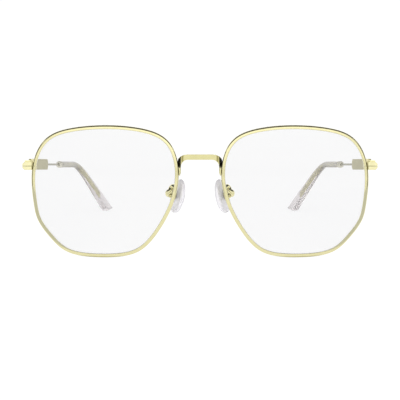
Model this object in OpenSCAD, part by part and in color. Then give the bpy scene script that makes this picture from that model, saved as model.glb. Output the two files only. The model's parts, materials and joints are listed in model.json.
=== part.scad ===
// Metal eyeglasses with geometric rims, standing open on their rims and tips.
// X runs from the wearer's right to the left, Y from front to back and Z up.
// The wearer's left half is modelled, and the right half is its mirror image.

/* [Lenses] */
// Width of each lens, bevel tip to bevel tip
lens_width = 57.7; // [52:0.1:62]
// Height of each lens
lens_height = 51.8; // [47:0.1:56]
// Distance between the lenses at the nose
lens_gap = 18.6; // [16:0.1:22]
// Radius that the front of each lens is curved to
lens_curve = 130; // [100:1:300]
// Turn of each lens towards its temple, in degrees
lens_wrap = 5; // [2:0.5:8]
// Thickness of each lens
lens_thickness = 1.8; // [1.6:0.1:2.4]
// Height of the bevel round each lens edge
bevel_height = 0.75; // [0.6:0.05:0.9]
// Width of the bevel at its foot
bevel_width = 1.2; // [1:0.05:1.4]

/* [Rims] */
// Width of the rim wire as seen from the front
rim_width = 1.45; // [1.3:0.05:1.8]
// Depth of the rim wire from front to back
rim_depth = 2.1; // [1.8:0.05:2.6]
// Metal left outside the groove
groove_wall = 0.75; // [0.6:0.05:1]
// Width of the rounding on the outer corners of the rim wire
rim_rounding = 0.5; // [0.3:0.05:0.8]

/* [Bridge] */
// Height of the top of the bridge above the table
bridge_top = 42; // [40:0.1:44]
// Height of the bar at the middle
bridge_bar = 2.1; // [1.5:0.1:3]
// Thickness of the bar from front to back
bridge_depth = 1.2; // [1:0.1:1.8]
// Length of the straight middle of the bar
bridge_front = 10; // [8:0.1:12]
// Length over which each end of the bar bends back
bridge_bend = 2.2; // [1.5:0.1:3]
// Fall of the bar's top edge at its curved ends
bridge_fall = 2.9; // [1:0.1:3.5]
// Fall of the bar's lower edge at its curved ends
bridge_arch = 3; // [1.5:0.1:4]
// How far the bar stands in front of the rims
bridge_step = 1.1; // [0.6:0.1:1.6]
// Height of the bridge from its top to the end of its feet
bridge_foot = 8.6; // [7:0.1:10]
// Width of each foot
foot_width = 0.8; // [0.7:0.1:1.2]

/* [End pieces] */
// Height of the joint between the two closing blocks above the table
hinge_height = 36.7; // [34:0.1:39]
// Distance from the rim wire to the outer end of the blocks
block_length = 3.8; // [3.5:0.1:4.5]
// Height of both closing blocks together
block_height = 3.2; // [2.8:0.1:3.6]
// Depth of the closing blocks from front to back
block_depth = 2.5; // [2.3:0.1:2.8]
// Bevel on the outer ends of the blocks
block_chamfer = 0.8; // [0.3:0.1:1]
// Gap between the two closing blocks
split_gap = 0.12; // [0.1:0.01:0.2]
// Diameter of the rim screw
rim_screw_size = 1.1; // [0.9:0.05:1.2]
// Diameter of the rim screw's head
rim_head_size = 1.7; // [1.6:0.05:1.8]
// Height of the rim screw's head
rim_head_height = 0.6; // [0.4:0.05:0.7]

/* [Hinges] */
// Distance of the hinge axis behind the front of the rims
hinge_depth = 11.3; // [11:0.1:13]
// Distance of the hinge axis inside the outer edge of the rim
hinge_inset = 0.6; // [0.5:0.1:1]
// Radius of the hinge knuckles
knuckle_radius = 1.15; // [1.05:0.05:1.3]
// Height of the hinge
hinge_size = 4.4; // [4:0.1:5]
// Height of the middle knuckle
middle_knuckle = 1.5; // [1.2:0.1:1.8]
// Diameter of the hinge screw
hinge_pin_size = 1; // [0.9:0.05:1.1]
// Diameter of the hinge screw's head
hinge_head_size = 1.6; // [1.5:0.05:1.7]
// Height of the hinge screw's head
hinge_head_height = 0.5; // [0.4:0.05:0.6]
// Thickness of the hinge leaves
leaf_thickness = 1; // [0.8:0.05:1.1]
// Length of the hinge leaf on the temple
leaf_length = 6; // [4:0.1:8]

/* [Temples] */
// Turn of the open temples towards each other, in degrees
temple_turn = 6.9; // [4:0.1:8]
// Length of the flat plate behind the hinge
plate_length = 33; // [28:0.5:38]
// Thickness of the flat plate
plate_thickness = 1.2; // [1:0.1:1.5]
// Height of the flat plate
plate_height = 4.4; // [4:0.1:5]
// Diameter of the side wire
wire_size = 0.9; // [0.8:0.05:1.1]
// Distance from the hinge to the ferrule
ferrule_start = 58; // [52:0.5:64]
// Length of the ferrule
ferrule_length = 2.4; // [2:0.1:3]
// Diameter of the ferrule
ferrule_size = 2.9; // [2.8:0.1:3.4]
// Distance from the hinge to the start of the ear bend
bend_start = 95.5; // [88:0.5:100]
// Radius of the ear bend
bend_radius = 18; // [16:1:26]
// Angle of the ear bend, in degrees
bend_angle = 40; // [34:1:44]
// Lean of the ear bend towards the head, in degrees
bend_lean = 23; // [15:1:28]
// Length of the straight end behind the bend
drop_length = 30; // [27:0.5:34]
// Twist of the tip behind the bend, in degrees
tip_twist = 12; // [0:1:20]
// How far the end of the tip is cut aslant, for each unit of its width
tip_cut = 1.05; // [0.3:0.05:1.2]
// Width of the tip where it starts
tip_start_width = 2.8; // [2.6:0.1:3.2]
// Width of the tip at its end
tip_end_width = 9.4; // [7:0.1:10]
// Thickness of the tip at its end
tip_end_thickness = 2.8; // [2.4:0.1:3.4]
// Width of the flattened core in the tip
core_width = 1.7; // [1.4:0.1:2]
// Thickness of the flattened core in the tip
core_thickness = 0.7; // [0.6:0.05:0.8]
// Length of the core past the start of the ear bend
core_reach = 28; // [20:0.5:30]

/* [Nose pads] */
// Distance from the middle of the frame to each pad's screw
pad_side = 10.7; // [10.2:0.1:11.5]
// Distance from the front of the rims back to each pad's screw
pad_back = 7.8; // [7.5:0.1:9]
// Height of each pad's screw above the table
pad_rise = 24.4; // [23:0.1:26]
// Height of the pads
pad_height = 14; // [12:0.1:15]
// Width of the pads
pad_width = 8.6; // [7:0.1:9]
// Thickness of the pads
pad_thickness = 2.4; // [2:0.1:3]
// Turn of the pads seen from above, in degrees
pad_splay = 32; // [25:1:40]
// Lean of the pads seen from the front, in degrees
pad_lean = 14; // [8:1:20]
// Diameter of the pad arm wire
arm_size = 1.4; // [1:0.05:1.5]
// Height of the start of the pad arm above the pad screw
arm_rise = 3.6; // [3:0.1:4.5]
// Diameter of the pad screw
pad_screw_size = 0.8; // [0.7:0.05:0.9]

/* [Hidden] */
$fn = 48;

// Clearances
solder_gap = 0.05;     // between pieces that are soldered together
groove_clearance = 0.06; // between the lens bevel and the groove
running_gap = 0.04;    // round a hinge screw, on the radius
thread_gap = 0.01;     // round a screw in its thread, on the radius
face_gap = 0.05;       // between faces that turn past each other
past = 1;              // how far a cutting shape runs past what it cuts

// Slots for the screwdriver
slot_width = 0.24;
slot_depth = 0.25;

function reversed(list) = [for (k = [len(list) - 1 : -1 : 0]) list[k]];

// Outline of one lens seen from the front, nose side at negative x.
// The points guide a smooth closed curve that is then scaled to the lens size.
outline_points = [[0.2, 26.2], [14.4, 24.9], [25.9, 21.3], [31.1, 8.3], [29.4, -6.6], [28.3, -13],
    [22.6, -20], [16.4, -26.5], [3.2, -27.5], [-9.4, -26.9], [-16.4, -23.5], [-23, -14.6],
    [-28.7, -3.5], [-30.6, 9.2], [-26.5, 21.6], [-14, 25.3]];
outline_steps = 5;     // points on the curve for each guide point

// A point on the smooth curve that the guide points pull towards them
function curve_point(p, i, t) =
    let (n = len(p), a = p[i], b = p[(i + 1) % n], c = p[(i + 2) % n], d = p[(i + 3) % n])
    (a * (1 - t) ^ 3 + b * (3 * t ^ 3 - 6 * t ^ 2 + 4)
        + c * (1 + 3 * t + 3 * t ^ 2 - 3 * t ^ 3) + d * t ^ 3) / 6;

raw_outline = [for (i = [0 : len(outline_points) - 1]) for (k = [0 : outline_steps - 1])
    curve_point(outline_points, i, k / outline_steps)];
raw_low = [min([for (q = raw_outline) q.x]), min([for (q = raw_outline) q.y])];
raw_high = [max([for (q = raw_outline) q.x]), max([for (q = raw_outline) q.y])];
outline_scale = [lens_width / (raw_high.x - raw_low.x), lens_height / (raw_high.y - raw_low.y)];
outline = [for (q = raw_outline) let (d = q - (raw_low + raw_high) / 2)
    [d.x * outline_scale.x, d.y * outline_scale.y]];
outline_count = len(outline);

// Direction that points out of the outline at one of its points
function outward(i) =
    let (n = outline_count, d = outline[(i + 1) % n] - outline[(i + n - 1) % n])
    [-d.y, d.x] / norm(d);

// Places of the lens and of its edge
lens_side = (lens_gap + lens_width) / 2;
rim_outside = groove_wall + groove_clearance;
rim_inside = rim_width - rim_outside;
lens_level = lens_height / 2 + rim_outside;

// Depth of the curved and turned lens plane behind the front of the frame
function lens_depth(u, v) =
    lens_curve - sqrt(lens_curve ^ 2 - u ^ 2 - v ^ 2) + u * tan(lens_wrap);

// A point beside the outline: out from it, and back from the lens plane
function edge_point(p, n, out, back) =
    let (q = p + n * out) [lens_side + q.x, lens_depth(q.x, q.y) + back, lens_level + q.y];

// Where the temple side of the outline crosses a height: the point before it, and the place
function crossing(height) = [for (i = [0 : outline_count - 1])
    if (outline[i].x > 0 && outline[i].y > height
        && outline[(i + 1) % outline_count].y <= height) i][0];
function side_point(height) =
    let (i = crossing(height), a = outline[i], b = outline[(i + 1) % outline_count])
    a + (b - a) * (a.y - height) / (a.y - b.y);
// The same on the nose side, where the outline runs upwards
function side_of_nose(height) =
    let (i = [for (i = [0 : outline_count - 1]) if (outline[i].x < 0 && outline[i].y <= height
            && outline[(i + 1) % outline_count].y > height) i][0],
        a = outline[i], b = outline[(i + 1) % outline_count])
    a + (b - a) * (a.y - height) / (a.y - b.y);
split_level = hinge_height - lens_level;
split_index = crossing(split_level);

// The line that what is soldered to the nose side of the rim follows, seen from the front:
// its distance from the middle of the frame at each height
nose_line = [for (i = [0 : outline_count - 1]) if (outline[i].x < -lens_width / 4)
    let (q = outline[i] + outward(i) * (rim_outside + solder_gap))
    [lens_level + q.y, lens_side + q.x]];

// Where the end piece starts, outside the rim wire
rim_edge = lens_side + rim_outside
    + max([for (k = [-1 : 0.5 : 1]) side_point(split_level + k * block_height / 2).x]);
block_start = rim_edge + solder_gap;
block_end = rim_edge + block_length;
block_middle_depth = lens_depth(rim_edge - lens_side, split_level);
block_front = block_middle_depth - block_depth / 2;
block_back = block_middle_depth + block_depth / 2;
rim_screw_side = (block_start + block_end) / 2;

// The hinge axis, and the plate and leaves beside it
leaf_inside = knuckle_radius + face_gap - leaf_thickness;
plate_inside = knuckle_radius + face_gap + solder_gap;
hinge_side = rim_edge - hinge_inset;
arm_outside = block_end - block_chamfer - hinge_side;
wire_side = plate_inside + plate_thickness / 2;

// Place on the middle line of the temple, a distance along it from the hinge
function temple_point(s) =
    let (a = min(max(s - bend_start, 0) / bend_radius * 180 / PI, bend_angle),
        rest = max(s - bend_start - bend_radius * bend_angle * PI / 180, 0),
        back = min(s, bend_start) + bend_radius * sin(a) + rest * cos(a),
        drop = bend_radius * (1 - cos(a)) + rest * sin(a))
    [wire_side - drop * sin(bend_lean), back, -drop * cos(bend_lean)];

// An oval ring across the middle line, its width in the plane of the ear bend and then
// twisted out of it, so that the flat of the tip lies against the head
function temple_ring(s, width, thickness, sides, skew = 0, lift = 0) =
    let (a = min(max(s - bend_start, 0) / bend_radius * 180 / PI, bend_angle),
        lean = bend_lean * min(max((s - ferrule_end) / (bend_start - ferrule_end), 0), 1),
        twist = tip_twist * a / bend_angle,
        along = [-sin(bend_lean) * sin(a), cos(a), -cos(bend_lean) * sin(a)],
        flat = [cos(lean), 0, -sin(lean)],
        edge = [sin(lean) * cos(a), sin(a), cos(lean) * cos(a)],
        across = flat * cos(twist) + edge * sin(twist),
        up = edge * cos(twist) - flat * sin(twist))
    [for (k = [0 : sides - 1]) let (t = 360 * k / sides, h = lift + width / 2 * sin(t))
        temple_point(s) + across * (thickness / 2 * cos(t)) + up * h + along * (skew * h)];

ferrule_end = ferrule_start + ferrule_length;
tip_start = ferrule_end + face_gap;
tip_length = bend_start + bend_radius * bend_angle * PI / 180 + drop_length;
core_end = bend_start + core_reach;
flatten_length = 8;    // over which the wire turns into the flat core
core_flat = tip_start + flatten_length;
core_steps = 14;
core_sides = 12;
tip_sides = 16;
tip_flattening = 0.3;  // how much thinner than wide the tip is where the bend starts
slant_length = 12;     // over which the rings begin to lean towards the cut
slant_start = tip_length - slant_length;

// Width and thickness of the tip along its length, which widens evenly behind the bend
function tip_size(s) = [
    lookup(s, [[tip_start, tip_start_width], [bend_start, tip_start_width],
        [tip_length, tip_end_width]]),
    lookup(s, [[tip_start, tip_start_width], [bend_start, tip_start_width - tip_flattening],
        [slant_start, tip_end_thickness]])];
tip_steps = 15;
tip_round = 2;         // radius of the lower corner at the end of the tip
tip_edge = 0.4;        // rounding all round the cut end

// Rings that round the end of the tip: the lower corner first, then the edge of the cut
round_start = tip_length - tip_round - tip_edge;
tip_end_rings = let (wide = tip_size(round_start),
    corner = [for (t = [30 : 30 : 90]) [round_start + tip_round * sin(t), tip_round * (1 - cos(t)), 0]])
    [for (e = [each corner, [tip_length, tip_round, tip_edge]])
        temple_ring(e[0], wide.x - e[1] - 2 * e[2], wide.y - 2 * e[2], tip_sides, tip_cut, e[1] / 2)];

// The temples slope down just far enough for their tips to stand on the table
tip_reaches = [for (ring = tip_end_rings) each [for (q = ring)
    [q.y * cos(temple_turn) + q.x * sin(temple_turn), -q.z]]];
temple_slope = min([for (q = tip_reaches) asin(hinge_height / norm(q)) - atan(q.y / q.x)]);

// The middle of the whole frame from front to back
frame_front = min(-bridge_step, lens_curve * (1 - 1 / cos(lens_wrap)) - lens_thickness / 2);
frame_back = hinge_depth
    + max([for (q = tip_reaches) q.x * cos(temple_slope) - q.y * sin(temple_slope)]);
frame_middle = (frame_front + frame_back) / 2;

// Skin over a row of rings with the same number of points, closed at both ends
module skin(rings) {
    rows = len(rings);
    cols = len(rings[0]);
    sides = [for (r = [0 : rows - 2]) for (c = [0 : cols - 1])
        let (a = r * cols + c, b = r * cols + (c + 1) % cols)
        each [[a, b, b + cols], [a, b + cols, a + cols]]];
    start = [for (c = [cols - 1 : -1 : 0]) c];
    end = [for (c = [0 : cols - 1]) (rows - 1) * cols + c];
    polyhedron([for (ring = rings) each ring], [start, each sides, end]);
}

// The same for rings that close on a middle point at each end
module domed_skin(first, rings, last) {
    rows = len(rings);
    cols = len(rings[0]);
    sides = [for (r = [0 : rows - 2]) for (c = [0 : cols - 1])
        let (a = 1 + r * cols + c, b = 1 + r * cols + (c + 1) % cols)
        each [[a, b, b + cols], [a, b + cols, a + cols]]];
    start = [for (c = [0 : cols - 1]) [0, 1 + (c + 1) % cols, 1 + c]];
    top = 1 + (rows - 1) * cols;
    end = [for (c = [0 : cols - 1]) [top + c, top + (c + 1) % cols, top + cols]];
    polyhedron([first, each [for (ring = rings) each ring], last], [each start, each sides, each end]);
}

module box(low, high) {
    translate(low) cube(high - low);
}

// Puts the finished frame with its middle over the origin
module placed() {
    translate([0, -frame_middle, 0]) children();
}

module right_side() {
    mirror([1, 0, 0]) children();
}

// The hinge axis stands at the origin here, and leans with the temples
module at_hinge() {
    translate([hinge_side, hinge_depth, hinge_height]) rotate([-temple_slope, 0, 0]) children();
}

// The open temple runs back along Y here
module at_temple() {
    at_hinge() rotate([0, 0, temple_turn]) children();
}

// Rims and lenses

module rim() {
    half = rim_depth / 2;
    lip = 0.15;
    groove_depth = rim_inside + groove_clearance;
    // The groove has the slope of the lens bevel, and a lip is left at both its sides
    groove_half = min(groove_depth * bevel_width / 2 / bevel_height, half - lip);
    round_depth = 0.7 * rim_rounding;
    section = [
        [rim_outside, -half + round_depth],
        [rim_outside, half - round_depth],
        [rim_outside - rim_rounding * (1 - cos(45)), half - round_depth * (1 - sin(45))],
        [rim_outside - rim_rounding, half],
        [-rim_inside, half],
        [-rim_inside, groove_half],
        [groove_clearance, 0],
        [-rim_inside, -groove_half],
        [-rim_inside, -half],
        [rim_outside - rim_rounding, -half],
        [rim_outside - rim_rounding * (1 - cos(45)), -half + round_depth * (1 - sin(45))]];
    low = side_point(split_level - split_gap / 2);
    high = side_point(split_level + split_gap / 2);
    out = outward(split_index);
    ring_low = [for (s = section) edge_point(low, out, s.x, s.y)];
    ring_high = [for (s = section) edge_point(high, out, s.x, s.y)];
    rings = [for (k = [1 : outline_count]) let (i = (split_index + k) % outline_count)
        [for (s = section) edge_point(outline[i], outward(i), s.x, s.y)]];
    color([0.86, 0.80, 0.58]) skin([ring_low, each rings, ring_high]);
}

module lens() {
    half = lens_thickness / 2;
    foot = bevel_width / 2;
    // Out from the edge and back from the lens plane, from the front face round to the back
    edge = [[-bevel_height, -half], [-bevel_height, -foot], [0, 0], [-bevel_height, foot],
        [-bevel_height, half]];
    inner_sizes = [0.2, 0.4, 0.65, 0.87];
    edge_rings = [for (e = edge) [for (i = [0 : outline_count - 1])
        edge_point(outline[i], outward(i), e.x, e.y)]];
    front_rings = [for (s = inner_sizes) [for (i = [0 : outline_count - 1])
        edge_point(outline[i] * s, [0, 0], 0, -half)]];
    back_rings = [for (s = reversed(inner_sizes)) [for (i = [0 : outline_count - 1])
        edge_point(outline[i] * s, [0, 0], 0, half)]];
    color([0.90, 0.93, 0.93, 0.35]) domed_skin(edge_point([0, 0], [0, 0], 0, -half),
        [each front_rings, each edge_rings, each back_rings],
        edge_point([0, 0], [0, 0], 0, half));
}

// Bridge

// A curved corner that reaches sideways and falls away, drawn from its flat end
function shoulder(start, reach, fall) =
    [for (a = [0 : 22.5 : 90]) start + [reach * sin(a), fall * (1 - cos(a))]];

// The same points in a mirror, in the order that closes the outline
function both_halves(half) =
    [each half, each [for (q = reversed(half)) [-q.x, q.y]]];

module bridge() {
    bar_end = bridge_front / 2;
    corner_height = bridge_top - bridge_fall;
    corner = lookup(corner_height, nose_line);
    foot_bottom = bridge_top - bridge_foot;
    foot_toe = 0.4;
    foot_end = lookup(foot_bottom + foot_toe, nose_line);
    foot_line = [for (q = reversed(nose_line)) if (q[0] < corner_height
        && q[0] > foot_bottom + foot_toe) [q[1], q[0]]];
    // The feet start in front of the middle of the rim wire and end short of its back
    nose_depth = lens_depth(-lens_width / 2, corner_height - bridge_foot / 2 - lens_level);
    foot_front = nose_depth - rim_depth / 8;
    foot_back = nose_depth + rim_depth / 2 - 3 * solder_gap;
    inner = corner - foot_width;
    // The right half seen from the front: top edge, side along the rim, toe, lower edge
    front_half = [
        each shoulder([bar_end, bridge_top], corner - bar_end, -bridge_fall),
        each foot_line, [foot_end, foot_bottom + foot_toe],
        [foot_end - foot_toe / 2, foot_bottom], [foot_end - foot_width / 2, foot_bottom],
        [foot_end - foot_width, foot_bottom + 3 * foot_toe],
        each reversed(shoulder([bar_end, bridge_top - bridge_bar],
            foot_end - foot_width - bar_end, -bridge_arch))];
    // The right half seen from above: front face, foot, back face
    plan_half = [
        each shoulder([corner - bridge_bend, -bridge_step], bridge_bend, foot_front + bridge_step),
        [corner, foot_back],
        each reversed(shoulder([inner - bridge_bend, bridge_depth - bridge_step],
            bridge_bend, foot_back + bridge_step - bridge_depth))];
    color([0.86, 0.80, 0.58]) intersection() {
        translate([0, foot_back + past, 0]) rotate([90, 0, 0])
            linear_extrude(foot_back + bridge_step + 2 * past) polygon(both_halves(front_half));
        linear_extrude(bridge_top + past) polygon(both_halves(plan_half));
    }
}

// End piece, closing block and rim screw

// One block seen from the front, with its outer corners bevelled
module block(low, high) {
    translate([0, block_back, 0]) rotate([90, 0, 0]) linear_extrude(block_depth)
        intersection() {
            polygon([
                [block_start, hinge_height - block_height / 2],
                [block_end - block_chamfer, hinge_height - block_height / 2],
                [block_end, hinge_height - block_height / 2 + block_chamfer],
                [block_end, hinge_height + block_height / 2 - block_chamfer],
                [block_end - block_chamfer, hinge_height + block_height / 2],
                [block_start, hinge_height + block_height / 2]]);
            translate([block_start, low]) square([block_end - block_start, high - low]);
        }
}

module end_piece() {
    arm_top = block_height / 2;
    arm_root = block_back - hinge_depth;
    root_overlap = 0.6;
    shoulder_length = 1.2;
    arm_taper = 0.3;
    stop_out = (plate_inside + plate_thickness) * [cos(temple_turn), sin(temple_turn)];
    stop_in = plate_inside * [cos(temple_turn), sin(temple_turn)];
    bore_end = 0.3;
    color([0.86, 0.80, 0.58]) difference() {
        union() {
            block(hinge_height + split_gap / 2, hinge_height + block_height);
            // The arm that the open temple stops against
            difference() {
                at_hinge() translate([0, 0, -arm_top]) linear_extrude(2 * arm_top) polygon([
                    [plate_inside, arm_root - root_overlap],
                    [arm_outside, arm_root - root_overlap],
                    [arm_outside - arm_taper, arm_root + shoulder_length],
                    stop_out - [0, face_gap], stop_in - [0, face_gap]]);
                // Room for the closing block
                box([0, 0, 0], [2 * block_end, block_back + split_gap, hinge_height + split_gap / 2]);
            }
        }
        translate([rim_screw_side, block_middle_depth, 0])
            cylinder(h = hinge_height + arm_top - bore_end, r = rim_screw_size / 2 + thread_gap);
    }
}

module closing_block() {
    bottom = hinge_height - block_height / 2;
    color([0.82, 0.76, 0.54]) difference() {
        block(0, hinge_height - split_gap / 2);
        translate([rim_screw_side, block_middle_depth, bottom - past])
            cylinder(h = block_height, r = rim_screw_size / 2 + running_gap);
        translate([rim_screw_side, block_middle_depth, bottom - past])
            cylinder(h = past + rim_head_height, r = rim_head_size / 2 + running_gap);
    }
}

module rim_screw() {
    bottom = hinge_height - block_height / 2;
    top_wall = 0.4;
    color([0.70, 0.64, 0.45]) translate([rim_screw_side, block_middle_depth, bottom]) difference() {
        union() {
            cylinder(h = rim_head_height - face_gap, r = rim_head_size / 2);
            cylinder(h = block_height - top_wall, r = rim_screw_size / 2);
        }
        box([-rim_head_size, -slot_width / 2, -past], [rim_head_size, slot_width / 2, slot_depth]);
    }
}

// Hinge

module front_hinge() {
    half = hinge_size / 2;
    cut = middle_knuckle / 2 + face_gap;
    leaf_end = 0.6;
    color([0.80, 0.74, 0.52]) at_hinge() difference() {
        union() {
            box([leaf_inside, block_back - hinge_depth + leaf_end, -half],
                [leaf_inside + leaf_thickness, 0, half]);
            translate([0, 0, -half]) cylinder(h = hinge_size, r = knuckle_radius);
        }
        // Room for the middle knuckle
        translate([0, 0, -cut]) cylinder(h = 2 * cut, r = knuckle_radius + 2 * face_gap);
        box([-2 * knuckle_radius, -knuckle_radius - face_gap, -cut],
            [2 * knuckle_radius, 2 * knuckle_radius, cut]);
        // Bore for the screw and its head
        translate([0, 0, -half - past])
            cylinder(h = hinge_size + 2 * past, r = hinge_pin_size / 2 + thread_gap);
        translate([0, 0, half - hinge_head_height])
            cylinder(h = hinge_head_height + past, r = hinge_head_size / 2 + thread_gap);
    }
}

module hinge_screw() {
    half = hinge_size / 2;
    color([0.70, 0.64, 0.45]) at_hinge() difference() {
        union() {
            translate([0, 0, -half]) cylinder(h = hinge_size, r = hinge_pin_size / 2);
            translate([0, 0, half - hinge_head_height + thread_gap])
                cylinder(h = hinge_head_height - thread_gap, r = hinge_head_size / 2);
        }
        box([-hinge_head_size, -slot_width / 2, half - slot_depth],
            [hinge_head_size, slot_width / 2, half + past]);
    }
}

module temple_hinge() {
    cut = middle_knuckle / 2;
    edge_step = 0.3;
    high = hinge_size / 2 - edge_step;
    color([0.80, 0.74, 0.52]) at_temple() difference() {
        union() {
            box([leaf_inside, 0, -high], [leaf_inside + leaf_thickness, leaf_length, high]);
            translate([0, 0, -cut]) cylinder(h = 2 * cut, r = knuckle_radius);
        }
        // Room for the outer knuckles
        for (side = [-1, 1]) translate([0, 0, side * (cut + hinge_size) - hinge_size])
            cylinder(h = 2 * hinge_size, r = knuckle_radius + 2 * face_gap);
        for (side = [-1, 1]) translate([0, 0, side * (cut + hinge_size)])
            box([-2 * knuckle_radius, -past, -hinge_size],
                [2 * knuckle_radius, knuckle_radius + face_gap, hinge_size]);
        translate([0, 0, -hinge_size]) cylinder(h = 2 * hinge_size, r = hinge_pin_size / 2 + running_gap);
    }
}

// Temple

wire_seat = 4;         // length of the side wire inside the plate

module temple_plate() {
    half = plate_height / 2;
    corner = 1.2;
    color([0.78, 0.74, 0.62]) at_temple() difference() {
        // Seen from the side, with both rear corners bevelled
        translate([plate_inside, 0, 0]) rotate([90, 0, 90]) linear_extrude(plate_thickness) polygon([
            [0, -half], [plate_length - corner, -half], [plate_length, -half + corner],
            [plate_length, half - corner], [plate_length - corner, half], [0, half]]);
        // Bore for the end of the side wire
        translate([wire_side, plate_length + past, 0]) rotate([90, 0, 0])
            cylinder(h = wire_seat + past, r = wire_size / 2 + solder_gap);
    }
}

function core_size(s) = [
    lookup(s, [[tip_start, wire_size], [core_flat, core_width]]),
    lookup(s, [[tip_start, wire_size], [core_flat, core_thickness]])];
core_places = [for (k = [0 : core_steps])
    core_flat + (core_end - core_flat) * k / core_steps];

module temple_wire() {
    wire_start = plate_length - wire_seat + solder_gap;
    places = [wire_start, ferrule_start, tip_start, each core_places];
    color([0.84, 0.78, 0.55]) at_temple() skin([for (s = places)
        temple_ring(s, core_size(s).x, core_size(s).y, core_sides)]);
}

module temple_ferrule() {
    dome_length = 0.75 * ferrule_length;
    color([0.72, 0.65, 0.42]) at_temple() translate([wire_side, ferrule_start, 0])
        rotate([-90, 0, 0]) difference() {
            rotate_extrude() intersection() {
                square([ferrule_size / 2, ferrule_length]);
                translate([0, dome_length]) scale([ferrule_size / 2, dome_length])
                    union() {
                        circle(1, $fn = 32);
                        square([1, 1]);
                    }
            }
            translate([0, 0, -past])
                cylinder(h = ferrule_length + 2 * past, r = wire_size / 2 + solder_gap);
        }
}

module temple_tip() {
    hole = 2 * solder_gap;
    places = [tip_start, each [for (k = [0 : tip_steps])
        core_flat + (round_start - core_flat) * k / tip_steps]];
    inner = [temple_ring(core_end + hole, core_width + hole, core_thickness + hole, tip_sides),
        each [for (s = reversed(core_places))
            temple_ring(s, core_size(s).x + hole, core_size(s).y + hole, tip_sides)],
        temple_ring(tip_start, wire_size + hole, wire_size + hole, tip_sides)];
    outer = [for (s = places) temple_ring(s, tip_size(s).x, tip_size(s).y, tip_sides,
        tip_cut * max(s - slant_start, 0) / (round_start - slant_start))];
    color([0.88, 0.84, 0.80, 0.6]) at_temple() skin([each inner, each outer, each tip_end_rings]);
}

// Nose pads

// The pad screw lies along X here, the pad faces the nose along -Y and stands along Z
module at_pad() {
    translate([pad_side, pad_back, pad_rise]) rotate([0, -pad_lean, 0])
        rotate([0, 0, -90 - pad_splay]) children();
}

box_width = 2;
box_height = 2.6;
box_wall = 0.4;
box_back = 1.3;        // reach of the box behind its screw, and in front of it
box_front = 0.6;
tongue_radius = 0.8;
plate_near = 1.1;      // from the screw to the back of the pad
insert_plate = 0.4;    // thickness of the insert's plate
insert_size = [3, 7];  // its width and height

// A place beside the pad, turned into the frame's own directions
function pad_place(q) =
    let (a = -90 - pad_splay, x = q.x * cos(a) - q.y * sin(a), y = q.x * sin(a) + q.y * cos(a))
    [pad_side + x * cos(pad_lean) - q.z * sin(pad_lean), pad_back + y,
        pad_rise + x * sin(pad_lean) + q.z * cos(pad_lean)];

// The arm starts behind the nose side of the rim, swings back and outwards, turns down,
// swings out once more and ends square to the back of the pad box
nose_side_point = side_of_nose(pad_rise + arm_rise - lens_level);
arm_root = [lens_side + nose_side_point.x,
    lens_depth(nose_side_point.x, nose_side_point.y) + rim_depth / 2 + 4 * solder_gap,
    pad_rise + arm_rise];
arm_points = [arm_root, arm_root + [0, 1.1, 0],
    [pad_side + 0.2, pad_back - 3.1, pad_rise + arm_rise + 0.6],
    [pad_side + 0.9, pad_back - 2.3, pad_rise + arm_rise - 0.1],
    [pad_side + 1.3, pad_back - 2.6, pad_rise + 2.4],
    [pad_side + 2.3, pad_back - 2.6, pad_rise + 1.6],
    [pad_side + 2.3, pad_back - 1.8, pad_rise + 0.6],
    pad_place([0, box_back + 0.9, 0]), pad_place([0, box_back + 2 * solder_gap, 0])];

module nose_pad() {
    sides = 24;
    egg = 0.12;            // how much narrower the top is than the middle, and the foot wider
    // Share of the full outline, and height above the back of the pad
    levels = [[0.8, 0], [0.95, 0.12], [1, 0.35], [0.97, 0.6], [0.85, 0.82], [0.55, 0.96]];
    rings = [for (q = levels) [for (k = [0 : sides - 1]) let (t = 360 * k / sides)
        [pad_width / 2 * q[0] * cos(t) * (1 - egg * sin(t)),
            -plate_near - pad_thickness * q[1], pad_height / 2 * q[0] * sin(t)]]];
    color([0.93, 0.93, 0.92, 0.55]) at_pad() difference() {
        domed_skin([0, -plate_near, 0], rings, [0, -plate_near - pad_thickness, 0]);
        box([-insert_size.x / 2 - solder_gap, -plate_near - insert_plate - solder_gap,
            -insert_size.y / 2 - solder_gap],
            [insert_size.x / 2 + solder_gap, 0, insert_size.y / 2 + solder_gap]);
    }
}

module pad_insert() {
    half = box_width / 2 - box_wall - face_gap;
    overlap = insert_plate / 4;
    color([0.90, 0.91, 0.92, 0.7]) at_pad() difference() {
        union() {
            translate([-half, 0, 0]) rotate([0, 90, 0]) cylinder(h = 2 * half, r = tongue_radius);
            box([-half, -plate_near - overlap, -tongue_radius], [half, 0, tongue_radius]);
            box([-insert_size.x / 2, -plate_near - insert_plate, -insert_size.y / 2],
                [insert_size.x / 2, -plate_near, insert_size.y / 2]);
        }
        translate([-half - past, 0, 0]) rotate([0, 90, 0])
            cylinder(h = 2 * (half + past), r = pad_screw_size / 2 + running_gap);
    }
}

module pad_box() {
    color([0.86, 0.80, 0.58]) at_pad() difference() {
        box([-box_width / 2, -box_front, -box_height / 2], [box_width / 2, box_back, box_height / 2]);
        box([-box_width / 2 + box_wall, -box_front - past, -box_height],
            [box_width / 2 - box_wall, box_back - box_wall, box_height]);
        translate([-box_width, 0, 0]) rotate([0, 90, 0])
            cylinder(h = 2 * box_width, r = pad_screw_size / 2 + thread_gap);
    }
}

module pad_screw() {
    head = 0.3;
    head_rim = 0.25;
    color([0.70, 0.64, 0.45]) at_pad() rotate([0, 90, 0]) {
        translate([0, 0, -box_width / 2]) cylinder(h = box_width + head, r = pad_screw_size / 2);
        translate([0, 0, box_width / 2 + thread_gap]) cylinder(h = head, r = pad_screw_size / 2 + head_rim);
    }
}

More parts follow.
